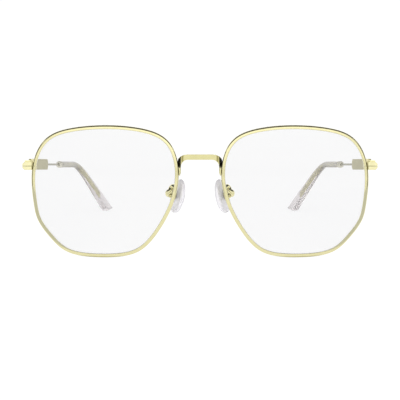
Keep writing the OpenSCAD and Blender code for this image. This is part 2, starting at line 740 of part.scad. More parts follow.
module pad_arm() {
    sides = 10;
    steps = 4;
    side_hint = [0.6, 0, 0.8];
    count = len(arm_points);
    function open_point(s) =
        let (i = min(floor(s), count - 2), t = s - i,
            a = i > 0 ? arm_points[i - 1] : 2 * arm_points[0] - arm_points[1],
            b = arm_points[i], c = arm_points[i + 1],
            d = i < count - 2 ? arm_points[i + 2] : 2 * c - b)
        (2 * b + (c - a) * t + (2 * a - 5 * b + 4 * c - d) * t ^ 2
            + (3 * b - a - 3 * c + d) * t ^ 3) / 2;
    places = [for (k = [0 : (count - 1) * steps]) open_point(k / steps)];
    rings = [for (k = [0 : len(places) - 1])
        let (d = places[min(k + 1, len(places) - 1)] - places[max(k - 1, 0)],
            along = d / norm(d),
            first = cross(along, side_hint), across = first / norm(first),
            up = cross(across, along))
        [for (c = [0 : sides - 1]) let (t = -360 * c / sides)
            places[k] + (across * cos(t) + up * sin(t)) * arm_size / 2]];
    color([0.86, 0.80, 0.58]) skin(rings);
}

placed() bridge();
placed() rim();  // rim_left
placed() lens();  // lens_left
placed() end_piece();  // end_piece_left
placed() closing_block();  // closing_block_left
placed() rim_screw();  // rim_screw_left
placed() front_hinge();  // front_hinge_left
placed() hinge_screw();  // hinge_screw_left
placed() temple_hinge();  // temple_hinge_left
placed() temple_plate();  // temple_plate_left
placed() temple_wire();  // temple_wire_left
placed() temple_ferrule();  // temple_ferrule_left
placed() temple_tip();  // temple_tip_left
placed() pad_arm();  // pad_arm_left
placed() pad_box();  // pad_box_left
placed() pad_screw();  // pad_screw_left
placed() pad_insert();  // pad_insert_left
placed() nose_pad();  // nose_pad_left
placed() right_side() rim();  // rim_right
placed() right_side() lens();  // lens_right
placed() right_side() end_piece();  // end_piece_right
placed() right_side() closing_block();  // closing_block_right
placed() right_side() rim_screw();  // rim_screw_right
placed() right_side() front_hinge();  // front_hinge_right
placed() right_side() hinge_screw();  // hinge_screw_right
placed() right_side() temple_hinge();  // temple_hinge_right
placed() right_side() temple_plate();  // temple_plate_right
placed() right_side() temple_wire();  // temple_wire_right
placed() right_side() temple_ferrule();  // temple_ferrule_right
placed() right_side() temple_tip();  // temple_tip_right
placed() right_side() pad_arm();  // pad_arm_right
placed() right_side() pad_box();  // pad_box_right
placed() right_side() pad_screw();  // pad_screw_right
placed() right_side() pad_insert();  // pad_insert_right
placed() right_side() nose_pad();  // nose_pad_right
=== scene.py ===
# %% [markdown]
# # Metal eyeglasses with geometric rims
# The glasses stand open on a white table: two thin gold rims with clear lenses,
# an arched bridge, two nose pads on bent wire arms, and wire temples that end in
# clear tips. Each cell below makes one real piece or one real finish.
# The solid model comes first. It says where everything is, in metres, with X
# from the wearer's right to the left, Y from front to back and Z up.

# %% Load the solid model
import bpy
import bmesh
import json
import math
from mathutils import Matrix, Vector


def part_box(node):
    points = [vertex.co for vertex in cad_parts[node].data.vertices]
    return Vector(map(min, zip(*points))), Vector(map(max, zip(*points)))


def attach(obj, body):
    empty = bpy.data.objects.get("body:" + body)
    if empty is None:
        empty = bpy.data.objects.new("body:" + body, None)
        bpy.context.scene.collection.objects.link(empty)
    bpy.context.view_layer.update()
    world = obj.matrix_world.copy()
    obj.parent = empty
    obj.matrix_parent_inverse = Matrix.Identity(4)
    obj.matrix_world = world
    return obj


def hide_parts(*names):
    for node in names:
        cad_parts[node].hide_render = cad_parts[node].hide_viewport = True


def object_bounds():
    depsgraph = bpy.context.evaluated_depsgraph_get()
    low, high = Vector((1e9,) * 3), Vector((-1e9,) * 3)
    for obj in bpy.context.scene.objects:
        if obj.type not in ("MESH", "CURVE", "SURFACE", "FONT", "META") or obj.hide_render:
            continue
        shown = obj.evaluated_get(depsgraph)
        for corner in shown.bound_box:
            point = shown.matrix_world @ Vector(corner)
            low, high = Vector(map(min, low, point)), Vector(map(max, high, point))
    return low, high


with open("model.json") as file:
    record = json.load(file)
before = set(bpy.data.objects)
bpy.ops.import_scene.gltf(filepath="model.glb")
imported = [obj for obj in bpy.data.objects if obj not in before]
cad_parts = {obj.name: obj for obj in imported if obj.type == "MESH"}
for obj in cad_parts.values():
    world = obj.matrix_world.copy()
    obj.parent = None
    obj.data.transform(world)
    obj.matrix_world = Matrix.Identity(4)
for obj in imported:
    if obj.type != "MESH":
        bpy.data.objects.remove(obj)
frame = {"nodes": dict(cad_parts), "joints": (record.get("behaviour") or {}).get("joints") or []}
solid_low, solid_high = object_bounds()
MM = 0.001
print("solid box in mm:", [round((b - a) / MM, 2) for a, b in zip(solid_low, solid_high)])

# %% [markdown]
# ## The camera
# The photograph looks straight at the front from a little above. A long lens,
# far away, keeps both rims the same size, and the ear tips behind show only a
# little smaller. The distance sets how far the temples seem to draw together,
# so it was chosen first, and the lens then fills the picture with the glasses.

# %% Put the camera in front of the bridge
FRONT_DISTANCE = 0.690   # from the camera to the front of the rims
CAMERA_RISE = 7.75       # degrees above the table
PICTURE_WIDTH = 0.160    # what the picture takes in at the front of the rims
FILM_WIDTH = 36          # mm, as in an ordinary camera
AIM_HEIGHT = 0.0236      # above the table, a little below the middle of the lenses
LENS_BULGE = 0.0014      # how far the lenses stand out in front of the rims


def put_in_scene(name, data):
    thing = bpy.data.objects.new(name, data)
    bpy.context.scene.collection.objects.link(thing)
    return thing


def turn_towards(thing, way):
    thing.rotation_mode = "QUATERNION"
    thing.rotation_quaternion = way.to_track_quat("-Z", "Y")


front_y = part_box("lens_left")[0].y + LENS_BULGE
aim = Vector((0, front_y, AIM_HEIGHT))
rise = math.radians(CAMERA_RISE)
toward_camera = Vector((0, -math.cos(rise), math.sin(rise)))
camera = put_in_scene("camera", bpy.data.cameras.new("camera"))
camera.data.sensor_width = FILM_WIDTH
camera.data.lens = FILM_WIDTH * FRONT_DISTANCE / PICTURE_WIDTH
camera.location = aim + toward_camera * FRONT_DISTANCE
turn_towards(camera, -toward_camera)
bpy.context.scene.camera = camera
print("camera at", [round(v, 4) for v in camera.location], "lens", camera.data.lens)

# %% [markdown]
# ## The table
# Thin polished metal shows nothing but its surroundings, so the room matters
# more than the paint. A white sweep of card runs under and up behind the
# glasses, and it is lit from within like a light table, so the glasses stand in
# pure white with hardly a shadow.

# %% White sweep of card
CARD_GLOW = 0.94         # nearly all of its white, so that hardly a shadow shows
SWEEP_FRONT, SWEEP_BACK, SWEEP_TOP = -1.6, 0.9, 1.6    # metres, as all of the studio
SWEEP_BEND, SWEEP_STEPS = 0.4, 16
SWEEP_HALF_WIDTH = 2.5


def start_finish(name):
    material = bpy.data.materials.new(name)
    material.use_nodes = True
    tree = material.node_tree
    return material, tree, tree.nodes["Principled BSDF"]


def sheet(name, corners, faces, material):
    mesh = bpy.data.meshes.new(name)
    mesh.from_pydata(corners, [], faces)
    mesh.materials.append(material)
    return put_in_scene(name, mesh)


white_card, tree, shader = start_finish("white_card")
shader.inputs["Base Color"].default_value = (0.12, 0.12, 0.12, 1)
shader.inputs["Roughness"].default_value = 0.9
shader.inputs["Specular IOR Level"].default_value = 0.1
shader.inputs["Emission Color"].default_value = (1, 1, 1, 1)
shader.inputs["Emission Strength"].default_value = CARD_GLOW

profile = [(SWEEP_FRONT, 0.0)]
for step in range(SWEEP_STEPS + 1):
    angle = math.radians(90 * step / SWEEP_STEPS)
    profile.append((SWEEP_BACK + SWEEP_BEND * math.sin(angle), SWEEP_BEND * (1 - math.cos(angle))))
profile.append((SWEEP_BACK + SWEEP_BEND, SWEEP_TOP))
corners = [(side * SWEEP_HALF_WIDTH, y, z) for y, z in profile for side in (-1, 1)]
faces = [(2 * i, 2 * i + 1, 2 * i + 3, 2 * i + 2) for i in range(len(profile) - 1)]
sweep = sheet("sweep", corners, faces, white_card)
sweep.data.shade_smooth()
sweep.location.z = solid_low.z
print("sweep made of", len(faces), "faces")

# %% [markdown]
# ## The room
# What the sweep leaves open is the world around it. A ramp over the height of
# each direction paints it in soft bands: white near the table and dark at the
# ceiling, because the upper edges of the rims mirror the ceiling as thin dark
# lines, and these lines are what draws the gold against white. A second ramp
# dims the room towards its two sides, but only from a little above the table.

# %% White room with a dark ceiling and dimmer upper sides
ROOM_STRENGTH = 1.7
HEIGHT_BANDS = [(0.0, 0.56), (0.1, 0.75), (0.28, 0.88), (0.45, 0.16), (0.7, 0.04)]
SIDE_BANDS = [(0.4, 1.0), (0.8, 0.2)]
ABOVE_TABLE = [(0.08, 0.0), (0.25, 1.0)]
WARMTH = 0.99            # a touch less blue than red and green


def shade_by(tree, part, stops):
    ramp = tree.nodes.new("ShaderNodeValToRGB")
    ramp.color_ramp.interpolation = "EASE"
    for k, (place, level) in enumerate(stops):
        stop = ramp.color_ramp.elements[k] if k < 2 else ramp.color_ramp.elements.new(place)
        stop.position = place
        colour = level if isinstance(level, tuple) else (level, level, level * WARMTH)
        stop.color = (*colour, 1)
    tree.links.new(part, ramp.inputs["Fac"])
    return ramp.outputs["Color"]


def axis_parts(tree, output):
    place = tree.nodes.new("ShaderNodeTexCoord")
    split = tree.nodes.new("ShaderNodeSeparateXYZ")
    tree.links.new(place.outputs[output], split.inputs[0])
    return split.outputs


def from_middle(tree, part):
    distance = tree.nodes.new("ShaderNodeMath")
    distance.operation = "ABSOLUTE"
    tree.links.new(part, distance.inputs[0])
    return distance.outputs[0]


room = bpy.data.worlds.new("white_room")
bpy.context.scene.world = room
room.use_nodes = True
tree = room.node_tree
way = axis_parts(tree, "Generated")
both = tree.nodes.new("ShaderNodeMixRGB")
both.blend_type = "MULTIPLY"
tree.links.new(shade_by(tree, way["Z"], ABOVE_TABLE), both.inputs["Fac"])
tree.links.new(shade_by(tree, way["Z"], HEIGHT_BANDS), both.inputs["Color1"])
tree.links.new(shade_by(tree, from_middle(tree, way["X"]), SIDE_BANDS), both.inputs["Color2"])
tree.links.new(both.outputs["Color"], tree.nodes["Background"].inputs["Color"])
tree.nodes["Background"].inputs["Strength"].default_value = ROOM_STRENGTH
print("room made with", len(HEIGHT_BANDS), "bands")

# %% [markdown]
# ## Black felt
# A studio lays black felt beside polished metal, just outside the picture, so
# that edges which turn sideways have something dark to mirror. Two fans of felt
# do this here: they lie on the table and turn up at their far end. Only
# reflections see them: the camera, the clear plastics and the light itself pass
# them by, so the table stays white.

# %% Black felt beside the glasses
FAN_FROM, FAN_TO = 54, 82    # degrees away from the line to the camera
FAN_NEAR, FAN_FAR, FAN_TOP = 0.29, 1.0, 0.45
FAN_STEPS = 10
FELT_LIFT = 0.3 * MM


def for_reflections_only(card):
    card.visible_camera = card.visible_diffuse = False
    card.visible_transmission = card.visible_shadow = False


def felt_fan(name, side):
    corners, faces = [], []
    for step in range(FAN_STEPS + 1):
        angle = math.radians(FAN_FROM + (FAN_TO - FAN_FROM) * step / FAN_STEPS)
        for reach, height in ((FAN_NEAR, 0), (FAN_FAR, 0), (FAN_FAR, FAN_TOP)):
            corners.append((side * reach * math.sin(angle), front_y - reach * math.cos(angle), height))
    for i in range(0, 3 * FAN_STEPS, 3):
        faces += [(i, i + 1, i + 4, i + 3), (i + 1, i + 2, i + 5, i + 4)]
    fan = sheet(name, corners, faces, felt)
    fan.location.z = solid_low.z + FELT_LIFT
    for_reflections_only(fan)


felt, tree, shader = start_finish("black_felt")
shader.inputs["Base Color"].default_value = (0.02, 0.02, 0.02, 1)
shader.inputs["Roughness"].default_value = 1.0
shader.inputs["Specular IOR Level"].default_value = 0.0
felt_fan("felt_right", -1)
felt_fan("felt_left", 1)
print("two fans of felt laid")

# %% [markdown]
# ## Grey card
# Grey card does the same more gently. It lies before the outer half of each
# lens and beyond, where the lower sides of the rims mirror it. It starts white
# and turns grey outwards, so that no edge shows in the metal.

# %% Grey card before the outer halves of the lenses
CARD_INSIDE, CARD_OUTSIDE = 0.04, 0.30
CARD_FRONT, CARD_BACK = 0.20, 0.003
GREY_FROM = 0.07         # where the card has turned all grey
CARD_GREY = (0.75, 0.77, 0.88)
CARD_LIFT = 0.2 * MM

grey_card, tree, shader = start_finish("grey_card")
shader.inputs["Base Color"].default_value = (0, 0, 0, 1)
shader.inputs["Specular IOR Level"].default_value = 0.0
shader.inputs["Emission Strength"].default_value = CARD_GLOW
outwards = from_middle(tree, axis_parts(tree, "Object")["X"])
grey = shade_by(tree, outwards, [(CARD_INSIDE, 1.0), (GREY_FROM, CARD_GREY)])
tree.links.new(grey, shader.inputs["Emission Color"])
corners = [(side * x, front_y - y, 0) for side in (-1, 1)
           for x, y in ((CARD_INSIDE, CARD_BACK), (CARD_OUTSIDE, CARD_BACK),
                        (CARD_OUTSIDE, CARD_FRONT), (CARD_INSIDE, CARD_FRONT))]
grey_cards = sheet("grey_cards", corners, [(0, 1, 2, 3), (4, 5, 6, 7)], grey_card)
grey_cards.location.z = solid_low.z + CARD_LIFT
for_reflections_only(grey_cards)
print("two grey cards laid")

# %% [markdown]
# ## Soft boxes
# Two weak soft boxes at the sides give the wires a fine highlight. A large one
# above the camera lights the pads and tips from the front. Reflections and clear
# plastics don't see that one, because it would wash out the dark lines.

# %% Three soft boxes
SIDE_POWER, FRONT_POWER = 1.2, 15.0


def soft_box(name, place, width, height, power):
    lamp = bpy.data.lights.new(name, "AREA")
    lamp.shape = "RECTANGLE"
    lamp.size = width
    lamp.size_y = height
    lamp.energy = power
    box = put_in_scene(name, lamp)
    box.location = place
    turn_towards(box, middle - Vector(place))
    return box


middle = Vector((0, 0, 0.03))
soft_box("left_box", (-1.3, -0.5, 0.5), 0.6, 0.5, SIDE_POWER)
soft_box("right_box", (1.3, -0.5, 0.5), 0.6, 0.5, SIDE_POWER)
front_box = soft_box("front_box", (0, -1.0, 0.8), 1.2, 1.2, FRONT_POWER)
front_box.visible_glossy = front_box.visible_transmission = False
bpy.context.scene.view_settings.view_transform = "Standard"
print("three soft boxes made")

# %% [markdown]
# ## Finishes
# Every finish starts from the same physical shader. What makes it gold plate,
# acetate or silicone is a handful of numbers, and what makes it look real is
# that none of them is quite even: a fine noise in the surface's own
# millimetres varies the colour, the roughness and the height of the surface.
# A few small helpers keep each recipe short.

# %% Helpers for finishes
NOISE_LOW, NOISE_HIGH = 0.3, 0.7     # a soft noise seldom leaves this range


def grain(tree, size_mm, detail=2.0, stretch=(1, 1, 1)):
    place = tree.nodes.new("ShaderNodeTexCoord")
    mapping = tree.nodes.new("ShaderNodeMapping")
    mapping.inputs["Scale"].default_value = stretch
    noise = tree.nodes.new("ShaderNodeTexNoise")
    noise.inputs["Scale"].default_value = 1 / (size_mm * MM)
    noise.inputs["Detail"].default_value = detail
    tree.links.new(place.outputs["Object"], mapping.inputs["Vector"])
    tree.links.new(mapping.outputs["Vector"], noise.inputs["Vector"])
    return noise.outputs["Fac"]


def spread(tree, value, first, last, low=0.0, high=1.0):
    rule = tree.nodes.new("ShaderNodeMapRange")
    rule.inputs["From Min"].default_value = first
    rule.inputs["From Max"].default_value = last
    rule.inputs["To Min"].default_value = low
    rule.inputs["To Max"].default_value = high
    tree.links.new(value, rule.inputs["Value"])
    return rule.outputs["Result"]


def vary(tree, pattern, low, high, socket):
    tree.links.new(spread(tree, pattern, NOISE_LOW, NOISE_HIGH, low, high), socket)


def tint(tree, pattern, first, second, socket):
    ramp = tree.nodes.new("ShaderNodeValToRGB")
    ramp.color_ramp.elements[0].position = NOISE_LOW
    ramp.color_ramp.elements[0].color = (*first, 1)
    ramp.color_ramp.elements[1].position = NOISE_HIGH
    ramp.color_ramp.elements[1].color = (*second, 1)
    tree.links.new(pattern, ramp.inputs["Fac"])
    tree.links.new(ramp.outputs["Color"], socket)


def relief(tree, pattern, height_mm, shader):
    bump = tree.nodes.new("ShaderNodeBump")
    bump.inputs["Strength"].default_value = 1.0
    bump.inputs["Distance"].default_value = height_mm * MM
    tree.links.new(pattern, bump.inputs["Height"])
    tree.links.new(bump.outputs["Normal"], shader.inputs["Normal"])


print("noise is used from", NOISE_LOW, "to", NOISE_HIGH)

# %% [markdown]
# ## Gold plate
# The frame is a copper-nickel alloy under a thin, pale, slightly green gold
# plate. Polished wire still holds faint drawing marks, so a soft noise moves
# the roughness between mirror and haze. Where two parts meet, the colour gets
# painted shade, a brown line: the ambient occlusion node knows how near the
# next surface is, so it paints that shade. One recipe serves every metal: its
# colour, its polish, its marks and the tone of its painted corner shade are the
# arguments. Hinges and ferrules stay matt, and a matt surface gives back
# some light by itself, so these two are only partly metal to the shader.

# %% Recipe for plated metal
SHADE_REACH = 1.0      # mm, how near a neighbour has to be for a corner to get painted shade
# painted shade: the brown that ambient occlusion paints into close corners, and a darker one for the
# bridge
CORNER_SHADE_BROWN = (0.32, 0.28, 0.11)
BRIDGE_SHADE_BROWN = (0.07, 0.05, 0.01)
CLOSED, OPEN = 0.25, 0.8             # from all painted shade to none, by how open a corner is
CLOUD_MM, GRAIN_DETAIL = 2.5, 3
MATT_METALLIC = 0.4


def plated(name, light, dark, polish, haze, mark_mm=0.35, stretch=(1, 1, 1), relief_mm=0.0008,
           shade_colour=CORNER_SHADE_BROWN, shade_reach=SHADE_REACH):
    material, tree, shader = start_finish(name)
    shader.inputs["Metallic"].default_value = 1.0
    clouds = grain(tree, CLOUD_MM, GRAIN_DETAIL)
    marks = grain(tree, mark_mm, GRAIN_DETAIL, stretch)
    # painted shade: ambient occlusion darkens the colour wherever another surface is near
    ao_shade = tree.nodes.new("ShaderNodeAmbientOcclusion")
    ao_shade.samples = 8
    ao_shade.inputs["Distance"].default_value = shade_reach * MM
    plate = tree.nodes.new("ShaderNodeMixRGB")
    plate.inputs["Color1"].default_value = (*shade_colour, 1)
    tree.links.new(spread(tree, ao_shade.outputs["AO"], CLOSED, OPEN), plate.inputs["Fac"])
    tint(tree, clouds, dark, light, plate.inputs["Color2"])
    tree.links.new(plate.outputs["Color"], shader.inputs["Base Color"])
    vary(tree, marks, polish, haze, shader.inputs["Roughness"])
    relief(tree, marks, relief_mm, shader)
    return material


polished_gold = plated("polished_gold", (0.78, 0.73, 0.43), (0.74, 0.69, 0.40), 0.07, 0.15)
bridge_gold = plated("bridge_gold", (0.745, 0.695, 0.37), (0.70, 0.65, 0.34), 0.08, 0.16,
                     shade_colour=BRIDGE_SHADE_BROWN, shade_reach=0.5)
# painted highlight: blocks and pad arms take a lighter copy of the gold, and the arms also get dark
# painted shade in their bends
bright_gold = plated("bright_gold", (0.90, 0.85, 0.50), (0.84, 0.79, 0.46), 0.06, 0.14,
                     shade_colour=(0.62, 0.57, 0.30), shade_reach=0.7)
arm_highlight_gold = plated("arm_highlight_gold", (0.90, 0.85, 0.50), (0.84, 0.79, 0.46), 0.05, 0.10,
                  shade_colour=(0.10, 0.08, 0.02), shade_reach=1.6)
satin_gold = plated("satin_gold", (0.76, 0.71, 0.44), (0.68, 0.63, 0.38), 0.24, 0.38,
                    shade_colour=(0.62, 0.56, 0.30), shade_reach=0.4)
# painted shade: the plates take a darker copy of the gold because they get less light; their brushed
# marks are real roughness and bumps
brushed_shaded_gold = plated("brushed_shaded_gold", (0.50, 0.47, 0.30), (0.44, 0.41, 0.25), 0.30, 0.44,
                      0.12, (1, 0.04, 1), 0.002)
drawn_gold = plated("drawn_gold", (0.335, 0.32, 0.235), (0.29, 0.275, 0.20), 0.18, 0.30,
                    0.15, (1, 0.08, 1))
core_gold = plated("core_gold", (0.70, 0.68, 0.38), (0.62, 0.60, 0.33), 0.20, 0.34,
                   0.15, (1, 0.08, 1))
ferrule_gold = plated("ferrule_gold", (0.70, 0.68, 0.59), (0.62, 0.60, 0.51), 0.50, 0.62)
screw_gold = plated("screw_gold", (0.56, 0.52, 0.36), (0.44, 0.40, 0.28), 0.20, 0.36, 0.2)
for matt_gold in (satin_gold, ferrule_gold):
    matt_gold.node_tree.nodes["Principled BSDF"].inputs["Metallic"].default_value = MATT_METALLIC
print("metal finishes:", len([m for m in bpy.data.materials if m.name.endswith("_gold")]))

# %% [markdown]
# ## Painted shade and reflection on the bridge
# The narrow corner where each end of the bridge meets its rim gets painted
# shade, and its upper half is painted nearly black. Beside it the bend gets a
# dull olive patch, a painted reflection of dark surroundings, and below it the foot is matt from the
# flux.
# All three are laid out in the bridge's own millimetres: so far out from the
# middle, and between two heights. Each pair below says where a patch is still
# clear and where it is full, so its edges are soft.

# %% Painted corner shade, painted olive reflection and matt foot at the ends of the bridge
CORNER_INSIDE, CORNER_BOTTOM, CORNER_TOP = (7.8, 8.05), (36.4, 37.3), (40.9, 40.0)
OLIVE_INSIDE, OLIVE_OUTSIDE, OLIVE_BOTTOM = (6.4, 6.8), (7.6, 7.2), (38.7, 39.3)
FOOT_INSIDE, FOOT_TOP = (7.5, 7.9), (37.0, 36.3)
# painted shade in the corner, and a painted reflection of dark surroundings on the bend
CORNER_SHADE_BLACK = (0.015, 0.011, 0.002)
DARK_REFLECTION_OLIVE = (0.36, 0.32, 0.12)
FOOT_METALLIC = 0.35


def patch(tree, *edges):
    cover = None
    for value, (clear_mm, full_mm) in edges:
        edge = spread(tree, value, clear_mm * MM, full_mm * MM)
        if cover is None:
            cover = edge
            continue
        product = tree.nodes.new("ShaderNodeMath")
        product.operation = "MULTIPLY"
        tree.links.new(cover, product.inputs[0])
        tree.links.new(edge, product.inputs[1])
        cover = product.outputs[0]
    return cover


tree = bridge_gold.node_tree
shader = tree.nodes["Principled BSDF"]
own = axis_parts(tree, "Object")
height = own["Z"]
out = from_middle(tree, own["X"])
# the olive cover is a painted reflection, and the corner cover is painted shade
olive_reflection = patch(tree, (out, OLIVE_INSIDE), (out, OLIVE_OUTSIDE), (height, OLIVE_BOTTOM))
corner = patch(tree, (out, CORNER_INSIDE), (height, CORNER_BOTTOM), (height, CORNER_TOP))
for cover, colour in ((olive_reflection, DARK_REFLECTION_OLIVE), (corner, CORNER_SHADE_BLACK)):
    painted_mark = tree.nodes.new("ShaderNodeMixRGB")
    painted_mark.inputs["Color2"].default_value = (*colour, 1)
    tree.links.new(cover, painted_mark.inputs["Fac"])
    tree.links.new(shader.inputs["Base Color"].links[0].from_socket, painted_mark.inputs["Color1"])
    tree.links.new(painted_mark.outputs["Color"], shader.inputs["Base Color"])
foot = patch(tree, (out, FOOT_INSIDE), (height, FOOT_TOP))
tree.links.new(spread(tree, foot, 0.0, 1.0, 1.0, FOOT_METALLIC), shader.inputs["Metallic"])
print("dark corners start", CORNER_INSIDE[0], "mm out from the middle of the bridge")

# %% [markdown]
# ## Clear finishes
# The lenses are clear with a ground edge: the faces are polished and coated, so
# they hardly mirror, and the bevel that sits in the rim is frosted, so they are
# two finishes on one piece. The ear tips are clear acetate with a faint rose
# tone. The pads are soft silicone, cloudier and less shiny, over an insert of
# hard plastic. All of them let light through, and their thickness gives them
# their depth of tone. Light that goes through a rough surface needs many
# samples, so the tips are nearly smooth.

# %% Lens, acetate, plastic and silicone
def clear(name, colour, polish, haze, ior, mark_mm, relief_mm, through=1.0):
    material, tree, shader = start_finish(name)
    shader.inputs["Base Color"].default_value = (*colour, 1)
    shader.inputs["Transmission Weight"].default_value = through
    shader.inputs["IOR"].default_value = ior
    marks = grain(tree, mark_mm, 2)
    vary(tree, marks, polish, haze, shader.inputs["Roughness"])
    relief(tree, marks, relief_mm, shader)
    return material


lens_clear = clear("lens_clear", (0.902, 0.902, 0.906), 0.0, 0.01, 1.5, 8.0, 0.0002)
lens_frosted = clear("lens_frosted", (0.88, 0.885, 0.89), 0.35, 0.5, 1.5, 0.08, 0.004)
tip_acetate = clear("tip_acetate", (0.83, 0.792, 0.795), 0.03, 0.06, 1.33, 1.2, 0.0005, 0.78)
pad_plastic = clear("pad_plastic", (0.86, 0.86, 0.87), 0.04, 0.10, 1.49, 0.8, 0.001, 0.9)
pad_silicone = clear("pad_silicone", (0.78, 0.767, 0.805), 0.18, 0.30, 1.35, 0.4, 0.003, 0.1)
coated = lens_clear.node_tree.nodes["Principled BSDF"]
coated.inputs["Specular Tint"].default_value = (0.35, 0.35, 0.35, 1)
cloudy = pad_silicone.node_tree.nodes["Principled BSDF"]
cloudy.inputs["Subsurface Weight"].default_value = 0.25
cloudy.inputs["Subsurface Radius"].default_value = (1, 1, 1)
cloudy.inputs["Subsurface Scale"].default_value = 1 * MM
print("clear finishes:", 5)

# %% [markdown]
# ## Making meshes
# Nearly every piece here is a wire or a bar: one cross section carried along a
# path. So one helper lays a skin over a row of rings. Another turns points into
# a piece with smooth shading that keeps real corners crisp, and a third mirrors
# a finished piece, because the right half is the left half in a mirror.

# %% Mesh helpers
def make_piece(name, points, faces, material, placed, sharp_angle=38):
    mesh = bpy.data.meshes.new(name)
    mesh.from_pydata([placed @ (Vector(p) * MM) for p in points], [], faces)
    work = bmesh.new()
    work.from_mesh(mesh)
    bmesh.ops.recalc_face_normals(work, faces=work.faces)
    work.to_mesh(mesh)
    work.free()
    mesh.shade_smooth()
    mesh.set_sharp_from_angle(angle=math.radians(sharp_angle))
    mesh.materials.append(material)
    return put_in_scene(name, mesh)


def skin(rings, loop=False):
    rows, columns = len(rings), len(rings[0])
    faces = []
    for row in range(rows if loop else rows - 1):
        here, there = row * columns, (row + 1) % rows * columns
        for column in range(columns):
            beside = (column + 1) % columns
            faces.append((here + column, here + beside, there + beside, there + column))
    if not loop:
        faces.append(tuple(range(columns)))
        faces.append(tuple((rows - 1) * columns + c for c in range(columns)))
    return [p for ring in rings for p in ring], faces


def mirrored(piece, name):
    mesh = piece.data.copy()
    mesh.name = name
    mesh.transform(Matrix.Scale(-1, 4, (1, 0, 0)))
    mesh.flip_normals()
    return put_in_scene(name, mesh)


def both_sides(left_piece, node, body):
    right_piece = mirrored(left_piece, left_piece.name.replace("_left", "_right"))
    for piece, side in ((left_piece, "left"), (right_piece, "right")):
        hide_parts(f"{node}_{side}")
        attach(piece, body if body == "front" else f"{body}_{side}")
    print(f"{left_piece.name} and its mirror image: {len(left_piece.data.polygons)} faces each")


print("mesh helpers ready")

# %% [markdown]
# ## Places
# The hinges and pad screws are joints of the solid model, so their places are
# read from there. From the hinge backwards everything leans and turns with the
# temple, and everything on a pad turns with the pad, so each gets one matrix.
# The pieces themselves are then drawn in plain millimetres.

# %% Places of the joints
joints = {joint["name"]: joint for joint in frame["joints"]}
hinge_place = Vector(joints["temple_left_fold"]["pos_m"])
hinge_axis = Vector(joints["temple_left_fold"]["axis"])
pad_place = Vector(joints["pad_left_rock"]["pos_m"])
HINGE_DEPTH = 11.3       # behind the front of the rims
TEMPLE_TURN = 6.9        # degrees, towards the other temple
PAD_SPLAY = 32.0         # degrees, seen from above: its back edge away from the nose
PAD_LEAN = 14.0          # degrees, seen from the front: its lower end away from the nose

front_plane = hinge_place.y / MM - HINGE_DEPTH
temple_slope = math.atan2(hinge_axis.y, hinge_axis.z)
at_front = Matrix.Translation((0, front_plane * MM, 0))
at_hinge = Matrix.Translation(hinge_place) @ Matrix.Rotation(-temple_slope, 4, "X")
at_temple = at_hinge @ Matrix.Rotation(math.radians(TEMPLE_TURN), 4, "Z")
at_pad = (Matrix.Translation(pad_place) @ Matrix.Rotation(-math.radians(PAD_LEAN), 4, "Y")
          @ Matrix.Rotation(-math.radians(90 + PAD_SPLAY), 4, "Z"))
print("front of the rims at y", round(front_plane, 3), "slope", round(math.degrees(temple_slope), 3))

# %% [markdown]
# ## The outline of a lens
# A lens blank is cut to a shape that the designer drew: eight soft sides, with
# corners that are never sharp. A closed smooth curve that is pulled by a few
# guide points has just that character, and the same guide points shaped the
# solid, so the two agree. The curve is then stretched to the lens's true size.

# %% Outline
GUIDES = [(0.2, 26.2), (14.4, 24.9), (25.9, 21.3), (31.1, 8.3), (29.4, -6.6), (28.3, -13),
          (22.6, -20), (16.4, -26.5), (3.2, -27.5), (-9.4, -26.9), (-16.4, -23.5), (-23, -14.6),
          (-28.7, -3.5), (-30.6, 9.2), (-26.5, 21.6), (-14, 25.3)]
POINTS_A_GUIDE = 16


def guided_point(i, t):
    a, b, c, d = (Vector(GUIDES[(i + k) % len(GUIDES)]) for k in range(4))
    return (a * (1 - t) ** 3 + b * (3 * t ** 3 - 6 * t ** 2 + 4)
            + c * (1 + 3 * t + 3 * t ** 2 - 3 * t ** 3) + d * t ** 3) / 6


lens_low, lens_high = (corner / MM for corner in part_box("lens_left"))
LENS_SIDE = (lens_low.x + lens_high.x) / 2
LENS_LEVEL = (lens_low.z + lens_high.z) / 2
raw = [guided_point(i, k / POINTS_A_GUIDE) for i in range(len(GUIDES)) for k in range(POINTS_A_GUIDE)]
raw_low = Vector((min(p.x for p in raw), min(p.y for p in raw)))
raw_high = Vector((max(p.x for p in raw), max(p.y for p in raw)))
fit = ((lens_high.x - lens_low.x) / (raw_high.x - raw_low.x),
       (lens_high.z - lens_low.z) / (raw_high.y - raw_low.y))
centre = (raw_low + raw_high) / 2
outline = [Vector(((p.x - centre.x) * fit[0], (p.y - centre.y) * fit[1])) for p in raw]
print("outline points:", len(outline), "lens", round(lens_high.x - lens_low.x, 2), "wide")

# %% [markdown]
# ## The surface of a lens
# A real front isn't flat. Each lens is part of a large sphere and turns a
# little towards its temple. One function gives the depth of that surface, and
# another puts a point beside the outline: so far out from the edge, and so far
# behind the surface. Rim and lens both use it, so they fit each other. A third
# finds the point where the outline crosses a level, on one side of the lens.

# %% The curved surface of the lens
LENS_CURVE = 130.0                   # mm, radius of the sphere
LENS_WRAP = math.radians(5)          # the temple side lies further back


def lens_depth(u, v):
    return LENS_CURVE - math.sqrt(LENS_CURVE ** 2 - u * u - v * v) + u * math.tan(LENS_WRAP)


def outward(i):
    along = outline[(i + 1) % len(outline)] - outline[i - 1]
    return Vector((-along.y, along.x)).normalized()


def beside_edge(point, normal, out, back):
    q = point + normal * out
    return (LENS_SIDE + q.x, lens_depth(q.x, q.y) + back, LENS_LEVEL + q.y)


